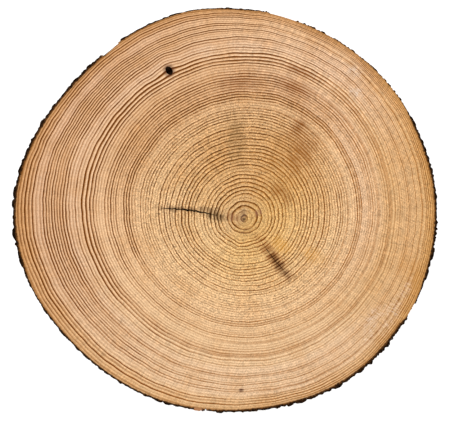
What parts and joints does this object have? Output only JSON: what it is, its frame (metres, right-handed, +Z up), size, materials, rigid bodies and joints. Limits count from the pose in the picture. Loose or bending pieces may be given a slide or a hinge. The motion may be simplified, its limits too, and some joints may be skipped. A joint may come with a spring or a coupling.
{
  "type": "wood slice",
  "caption": "Flat round slice sawn across a conifer trunk, with growth rings on both faces, heart checks, a twig hole and thin flaky bark round its edge.",
  "frame": {"origin": "on the lower sawn face, in the middle of the outline's box", "axes": "+Z up, out of the upper sawn face and along the trunk; +X along the slice's longest extent"},
  "size_m": [0.3002, 0.2848, 0.035],
  "materials": {
    "wood": "unfinished sawn end grain, pale tan with browner latewood rings, and matt dark brown bark round the edge"
  },
  "bodies": {
    "root": {"wood_slice": "wood"}
  },
  "joints": []
}
